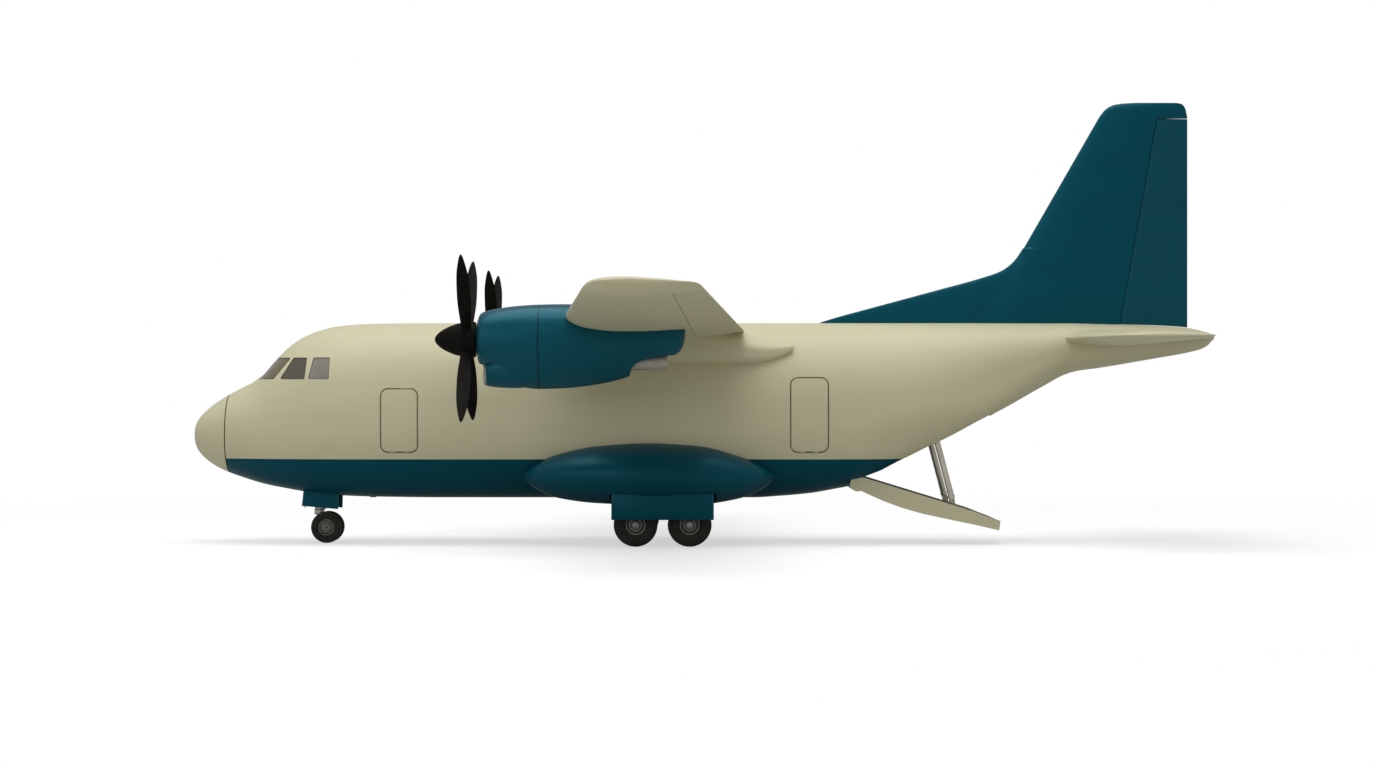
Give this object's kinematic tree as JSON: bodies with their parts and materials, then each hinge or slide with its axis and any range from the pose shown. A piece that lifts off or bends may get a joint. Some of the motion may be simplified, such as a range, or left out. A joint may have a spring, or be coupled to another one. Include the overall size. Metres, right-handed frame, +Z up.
{
  "type": "twin turboprop freight aeroplane",
  "caption": "High-winged twin-turboprop freighter on its wheels, with a hollow hold, an open rear ramp, side doors, hinged control surfaces and a steered nose gear.",
  "frame": {"origin": "on the ground, on the centreline, halfway between the nose's tip and the tail's tip", "axes": "-X to the nose, +X to the tail, -Y to the aeroplane's left, +Z up"},
  "size_m": [25.5, 27, 10.99],
  "materials": {
    "cream_paint": "satin",
    "teal_paint": "satin",
    "teal_composite": "satin",
    "cream_composite": "satin",
    "blade_black": "satin",
    "smoked_glass": "gloss",
    "bare_metal": "satin",
    "exhaust_metal": "satin",
    "tyre_rubber": "matte",
    "deck_grey": "matte"
  },
  "bodies": {
    "airframe": {"radome": "cream_composite", "nose_section": "cream_paint", "centre_fuselage": "cream_paint", "aft_fuselage": "cream_paint", "tail_section": "cream_paint", "tail_cone": "cream_paint", "cabin_floor": "deck_grey", "flight_deck": "deck_grey", "windscreen": "smoked_glass", "wing_centre": "cream_paint", "wing_left": "cream_paint", "wing_right": "cream_paint", "nacelle_left": "teal_paint", "nacelle_right": "teal_paint", "engine_left": "exhaust_metal", "engine_right": "exhaust_metal", "fin": "teal_composite", "stabiliser_left": "cream_composite", "stabiliser_right": "cream_composite", "sponson_left": "teal_paint", "sponson_right": "teal_paint", "main_gear_door_left": "teal_paint", "main_gear_door_right": "teal_paint", "main_gear_leg_left": "bare_metal", "main_gear_leg_right": "bare_metal", "nose_gear_leg": "bare_metal", "nose_gear_door_left": "teal_paint", "nose_gear_door_right": "teal_paint"},
    "propeller_body_left": {"propeller_left": "blade_black"},
    "propeller_body_right": {"propeller_right": "blade_black"},
    "main_wheel_front_left": {"main_tyre_front_left": "tyre_rubber", "main_rim_front_left": "bare_metal"},
    "main_wheel_rear_left": {"main_tyre_rear_left": "tyre_rubber", "main_rim_rear_left": "bare_metal"},
    "main_wheel_front_right": {"main_tyre_front_right": "tyre_rubber", "main_rim_front_right": "bare_metal"},
    "main_wheel_rear_right": {"main_tyre_rear_right": "tyre_rubber", "main_rim_rear_right": "bare_metal"},
    "nose_fork": {"nose_gear_fork": "bare_metal"},
    "nose_wheels": {"nose_rims": "bare_metal", "nose_tyre_left": "tyre_rubber", "nose_tyre_right": "tyre_rubber"},
    "front_door_body_left": {"front_door_left": "cream_paint"},
    "rear_door_body_left": {"rear_door_left": "cream_paint"},
    "front_door_body_right": {"front_door_right": "cream_paint"},
    "rear_door_body_right": {"rear_door_right": "cream_paint"},
    "ramp_body": {"ramp": "cream_paint"},
    "strut_barrel_body_left": {"ramp_strut_barrel_left": "bare_metal"},
    "strut_rod_body_left": {"ramp_strut_rod_left": "bare_metal"},
    "strut_barrel_body_right": {"ramp_strut_barrel_right": "bare_metal"},
    "strut_rod_body_right": {"ramp_strut_rod_right": "bare_metal"},
    "cargo_door_body": {"aft_cargo_door": "cream_paint"},
    "rudder_body": {"rudder": "teal_composite"},
    "elevators": {"elevator_left": "cream_composite", "elevator_right": "cream_composite"},
    "flap_body_left": {"flap_left": "cream_paint"},
    "flap_body_right": {"flap_right": "cream_paint"},
    "aileron_body_left": {"aileron_left": "cream_paint"},
    "aileron_body_right": {"aileron_right": "cream_paint"}
  },
  "joints": [
    {"name": "propeller_left_spin", "type": "hinge", "parent": "airframe", "child": "propeller_body_left", "pos_m": [-5.6, -4.7, 5], "axis": [-1, 0, 0], "continuous": true},
    {"name": "propeller_right_spin", "type": "hinge", "parent": "airframe", "child": "propeller_body_right", "pos_m": [-5.6, 4.7, 5], "axis": [-1, 0, 0], "continuous": true},
    {"name": "main_wheel_front_left_spin", "type": "hinge", "parent": "airframe", "child": "main_wheel_front_left", "pos_m": [-1.7, -2, 0.535], "axis": [0, 1, 0], "continuous": true},
    {"name": "main_wheel_rear_left_spin", "type": "hinge", "parent": "airframe", "child": "main_wheel_rear_left", "pos_m": [-0.385, -2, 0.535], "axis": [0, 1, 0], "continuous": true},
    {"name": "main_wheel_front_right_spin", "type": "hinge", "parent": "airframe", "child": "main_wheel_front_right", "pos_m": [-1.7, 2, 0.535], "axis": [0, 1, 0], "continuous": true},
    {"name": "main_wheel_rear_right_spin", "type": "hinge", "parent": "airframe", "child": "main_wheel_rear_right", "pos_m": [-0.385, 2, 0.535], "axis": [0, 1, 0], "continuous": true},
    {"name": "nose_steering", "type": "hinge", "parent": "airframe", "child": "nose_fork", "pos_m": [-9.62, 0, 0.39], "axis": [0, 0, 1], "range_deg": [-50, 50]},
    {"name": "nose_wheel_spin", "type": "hinge", "parent": "nose_fork", "child": "nose_wheels", "pos_m": [-9.43, 0, 0.39], "axis": [0, 1, 0], "continuous": true},
    {"name": "front_door_left_hinge", "type": "hinge", "parent": "airframe", "child": "front_door_body_left", "pos_m": [-7.465, -1.81309, 2.284], "axis": [1, 0, 0], "range_deg": [0, 100]},
    {"name": "rear_door_left_hinge", "type": "hinge", "parent": "airframe", "child": "rear_door_body_left", "pos_m": [2.535, -1.82271, 2.284], "axis": [1, 0, 0], "range_deg": [0, 100]},
    {"name": "front_door_right_hinge", "type": "hinge", "parent": "airframe", "child": "front_door_body_right", "pos_m": [-7.465, 1.81309, 2.284], "axis": [-1, 0, 0], "range_deg": [0, 100]},
    {"name": "rear_door_right_hinge", "type": "hinge", "parent": "airframe", "child": "rear_door_body_right", "pos_m": [2.535, 1.82271, 2.284], "axis": [-1, 0, 0], "range_deg": [0, 100]},
    {"name": "ramp_hinge", "type": "hinge", "parent": "airframe", "child": "ramp_body", "pos_m": [3.75, 0, 1.5], "axis": [0, -1, 0], "range_deg": [-4.5, 45]},
    {"name": "strut_barrel_left_swing", "type": "hinge", "parent": "airframe", "child": "strut_barrel_body_left", "pos_m": [5.55, -1.09, 3.15], "axis": [0, -1, 0], "range_deg": [-3, 19]},
    {"name": "strut_rod_left_slide", "type": "slide", "parent": "strut_barrel_body_left", "child": "strut_rod_body_left", "axis": [0.2536, 0, -0.9673], "range_m": [-1.85, 0.2]},
    {"name": "strut_barrel_right_swing", "type": "hinge", "parent": "airframe", "child": "strut_barrel_body_right", "pos_m": [5.55, 1.09, 3.15], "axis": [0, -1, 0], "range_deg": [-3, 19]},
    {"name": "strut_rod_right_slide", "type": "slide", "parent": "strut_barrel_body_right", "child": "strut_rod_body_right", "axis": [0.2536, 0, -0.9673], "range_m": [-1.85, 0.2]},
    {"name": "cargo_door_hinge", "type": "hinge", "parent": "airframe", "child": "cargo_door_body", "pos_m": [8.975, 0, 4.31], "axis": [0, 1, 0], "range_deg": [0, 30]},
    {"name": "rudder_hinge", "type": "hinge", "parent": "airframe", "child": "rudder_body", "pos_m": [10.445, 0, 5.475], "axis": [0.1744, 0, 0.9847], "range_deg": [-25, 25]},
    {"name": "elevator_hinge", "type": "hinge", "parent": "airframe", "child": "elevators", "pos_m": [11.17, 0, 5.1], "axis": [0, 1, 0], "range_deg": [-25, 15]},
    {"name": "flap_left_hinge", "type": "hinge", "parent": "airframe", "child": "flap_body_left", "pos_m": [-0.18715, -2.14, 5.28733], "axis": [0.0488, 0.997, -0.0593], "range_deg": [0, 35]},
    {"name": "flap_right_hinge", "type": "hinge", "parent": "airframe", "child": "flap_body_right", "pos_m": [-0.18715, 2.14, 5.28733], "axis": [-0.0488, 0.997, 0.0593], "range_deg": [0, 35]},
    {"name": "aileron_left_hinge", "type": "hinge", "parent": "airframe", "child": "aileron_body_left", "pos_m": [-0.50597, -8.66, 5.67527], "axis": [0.0488, 0.997, -0.0593], "range_deg": [-20, 20]},
    {"name": "aileron_right_hinge", "type": "hinge", "parent": "airframe", "child": "aileron_body_right", "pos_m": [-0.50597, 8.66, 5.67527], "axis": [-0.0488, 0.997, 0.0593], "range_deg": [-20, 20]}
  ],
  "couplings": [
    {"joint": "strut_barrel_left_swing", "follows": "ramp_hinge", "ratio": 0.396},
    {"joint": "strut_rod_left_slide", "follows": "ramp_hinge", "m_per_rad": -2.303},
    {"joint": "strut_barrel_right_swing", "follows": "ramp_hinge", "ratio": 0.396},
    {"joint": "strut_rod_right_slide", "follows": "ramp_hinge", "m_per_rad": -2.303},
    {"joint": "aileron_right_hinge", "follows": "aileron_left_hinge", "ratio": -1}
  ]
}
